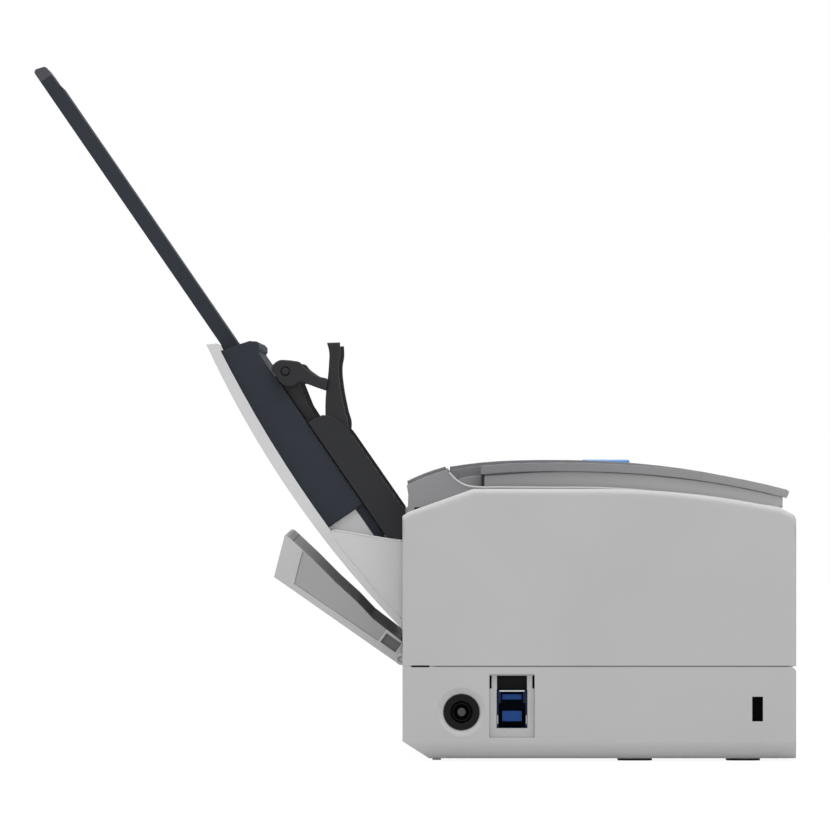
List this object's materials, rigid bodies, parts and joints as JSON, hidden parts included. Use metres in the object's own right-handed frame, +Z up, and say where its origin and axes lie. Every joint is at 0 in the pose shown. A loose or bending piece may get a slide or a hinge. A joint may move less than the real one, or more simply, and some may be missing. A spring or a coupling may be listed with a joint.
{
  "type": "document scanner",
  "caption": "Desktop document scanner with a folding rear chute, a pull-out extension, paper side guides, a hinged top cover and a curved paper path between rollers.",
  "frame": {"origin": "middle of the body's footprint, at the level of the desk that it stands on", "axes": "+X towards the front, +Y towards the far side with the scan button and the gears, +Z up"},
  "size_m": [0.2159, 0.296, 0.197],
  "materials": {
    "casing_grey": "fine satin texture, light grey",
    "cover_grey": "satin, mid grey",
    "chute_white": "satin, near white",
    "flap_grey": "satin, light grey",
    "flap_panel": "satin, dark grey",
    "dark_plastic": "satin, near black",
    "tip_plastic": "satin, dark grey",
    "blue_button": "smooth, blue",
    "inner_black": "moulded, black",
    "acetal": "moulded, natural",
    "tyre_rubber": "ground, dark grey",
    "foot_rubber": "moulded, black",
    "belt_rubber": "flat belt, black",
    "steel": "ground",
    "sheet_steel": "zinc plated sheet",
    "motor_can": "dark coated",
    "scan_glass": "polished",
    "sensor_bar": "moulded, dark",
    "board_green": "coated circuit board",
    "inlet_black": "moulded, black",
    "port_shell": "plated",
    "port_blue": "moulded, blue",
    "bezel_grey": "satin, grey"
  },
  "bodies": {
    "casing": {"base_shell": "casing_grey", "case_screws": "steel", "cover_pins": "steel", "data_port": "port_shell", "dc_inlet": "inlet_black", "drive_belt": "belt_rubber", "drive_motor": "motor_can", "front_panel": "casing_grey", "image_sensors": "sensor_bar", "inner_turn_guide": "inner_black", "lock_plate": "steel", "lower_guides": "inner_black", "main_board": "board_green", "motor_bracket": "sheet_steel", "outer_turn_guide": "inner_black", "port_bezel": "bezel_grey", "port_tongues": "port_blue", "rear_cheeks": "cover_grey", "return_guide": "inner_black", "rubber_feet": "foot_rubber", "scan_glasses": "scan_glass", "scan_units": "inner_black", "shaft_bushes": "acetal", "side_frames": "sheet_steel", "side_housing_far": "casing_grey", "side_housing_near": "casing_grey"},
    "chute": {"chute_cover": "chute_white", "chute_shaft": "steel", "chute_bed": "dark_plastic"},
    "extension": {"extension": "dark_plastic", "extension_tip": "tip_plastic"},
    "guide_near": {"side_guide_near": "dark_plastic"},
    "guide_far": {"side_guide_far": "dark_plastic"},
    "guide_pinion": {"guide_pinion": "acetal"},
    "lever_near": {"lever_near": "dark_plastic"},
    "lever_far": {"lever_far": "dark_plastic"},
    "strut_near": {"strut_near": "dark_plastic"},
    "strut_far": {"strut_far": "dark_plastic"},
    "flap": {"rear_flap": "flap_grey", "flap_inner_guide": "flap_panel", "flap_pins": "steel"},
    "cover": {"top_cover": "cover_grey", "button_switch": "board_green", "button_spring": "steel"},
    "button": {"scan_button": "blue_button"},
    "turn": {"turn_shaft": "steel", "turn_roller": "tyre_rubber", "turn_gears": "acetal"},
    "idler": {"idler_gear": "acetal"},
    "motor": {"motor_pinion": "steel"},
    "feed": {"feed_shaft": "steel", "feed_roller": "tyre_rubber", "feed_gear": "acetal"},
    "feed_idler": {"feed_idler": "acetal"},
    "pick": {"pick_shaft": "steel", "pick_roller": "tyre_rubber", "pick_gear": "acetal"},
    "separation": {"separation_roller": "tyre_rubber"},
    "pinch": {"pinch_roller": "acetal"},
    "eject": {"eject_roller": "acetal"}
  },
  "joints": [
    {"name": "chute_hinge", "type": "hinge", "parent": "casing", "child": "chute", "pos_m": [-0.0457, 0, 0.057], "axis": [0, -1, 0], "range_deg": [-121, 0]},
    {"name": "extension_slide", "type": "slide", "parent": "chute", "child": "extension", "axis": [-0.5664, 0, 0.8241], "range_m": [-0.082, 0]},
    {"name": "guide_near_slide", "type": "slide", "parent": "chute", "child": "guide_near", "axis": [0, 1, 0], "range_m": [0, 0.072]},
    {"name": "guide_far_slide", "type": "slide", "parent": "chute", "child": "guide_far", "axis": [0, -1, 0], "range_m": [0, 0.072]},
    {"name": "guide_pinion_spin", "type": "hinge", "parent": "chute", "child": "guide_pinion", "pos_m": [-0.08418, 0, 0.07909], "axis": [0.8241, 0, 0.5664], "range_deg": [-460, 0]},
    {"name": "lever_near_fold", "type": "hinge", "parent": "guide_near", "child": "lever_near", "pos_m": [-0.07332, 0, 0.09347], "axis": [0, 1, 0], "range_deg": [-31, 0]},
    {"name": "lever_far_fold", "type": "hinge", "parent": "guide_far", "child": "lever_far", "pos_m": [-0.07332, 0, 0.09347], "axis": [0, 1, 0], "range_deg": [-31, 0]},
    {"name": "strut_near_fold", "type": "hinge", "parent": "guide_near", "child": "strut_near", "pos_m": [-0.08802, 0, 0.10921], "axis": [0, 1, 0], "range_deg": [0, 36]},
    {"name": "strut_far_fold", "type": "hinge", "parent": "guide_far", "child": "strut_far", "pos_m": [-0.08802, 0, 0.10921], "axis": [0, 1, 0], "range_deg": [0, 36]},
    {"name": "flap_hinge", "type": "hinge", "parent": "casing", "child": "flap", "pos_m": [-0.0554, 0, 0.0282], "axis": [0, -1, 0], "range_deg": [-4, 30]},
    {"name": "cover_hinge", "type": "hinge", "parent": "casing", "child": "cover", "pos_m": [-0.037, 0, 0.073], "axis": [0, -1, 0], "range_deg": [0, 50]},
    {"name": "button_press", "type": "slide", "parent": "cover", "child": "button", "axis": [0, 0, -1], "range_m": [0, 0.001], "stiffness_N_per_m": 500, "deforming": ["button_spring"]},
    {"name": "turn_spin", "type": "hinge", "parent": "casing", "child": "turn", "pos_m": [0.035, 0, 0.0455], "axis": [0, 1, 0], "continuous": true},
    {"name": "idler_spin", "type": "hinge", "parent": "casing", "child": "idler", "pos_m": [0.00906, 0, 0.04373], "axis": [0, 1, 0], "continuous": true},
    {"name": "motor_spin", "type": "hinge", "parent": "casing", "child": "motor", "pos_m": [-0.00615, 0, 0.02925], "axis": [0, 1, 0], "continuous": true},
    {"name": "feed_spin", "type": "hinge", "parent": "casing", "child": "feed", "pos_m": [-0.024, 0, 0.02275], "axis": [0, 1, 0], "continuous": true},
    {"name": "pick_spin", "type": "hinge", "parent": "casing", "child": "pick", "pos_m": [-0.0372, 0, 0.04279], "axis": [0, 1, 0], "continuous": true},
    {"name": "feed_idler_spin", "type": "hinge", "parent": "casing", "child": "feed_idler", "pos_m": [-0.024, 0, 0.03585], "axis": [0, 1, 0], "continuous": true},
    {"name": "separation_spin", "type": "hinge", "parent": "casing", "child": "separation", "pos_m": [-0.04236, 0, 0.0286], "axis": [0, 1, 0], "continuous": true},
    {"name": "pinch_spin", "type": "hinge", "parent": "casing", "child": "pinch", "pos_m": [0.035, 0, 0.0249], "axis": [0, 1, 0], "continuous": true},
    {"name": "eject_spin", "type": "hinge", "parent": "casing", "child": "eject", "pos_m": [-0.027, 0, 0.053], "axis": [0, 1, 0], "continuous": true}
  ],
  "couplings": [
    {"joint": "guide_far_slide", "follows": "guide_near_slide", "ratio": 1},
    {"joint": "guide_pinion_spin", "follows": "guide_near_slide", "rad_per_m": -111.11},
    {"joint": "strut_near_fold", "follows": "lever_near_fold", "ratio": -1.13},
    {"joint": "strut_far_fold", "follows": "lever_far_fold", "ratio": -1.13},
    {"joint": "idler_spin", "follows": "turn_spin", "ratio": -1.1667},
    {"joint": "motor_spin", "follows": "turn_spin", "ratio": 1.5556},
    {"joint": "feed_spin", "follows": "turn_spin", "ratio": -1.4},
    {"joint": "pick_spin", "follows": "turn_spin", "ratio": 1},
    {"joint": "feed_idler_spin", "follows": "turn_spin", "ratio": 1.75},
    {"joint": "separation_spin", "follows": "turn_spin", "ratio": -1.2121},
    {"joint": "pinch_spin", "follows": "turn_spin", "ratio": -2.7222},
    {"joint": "eject_spin", "follows": "turn_spin", "ratio": 1.5217}
  ]
}
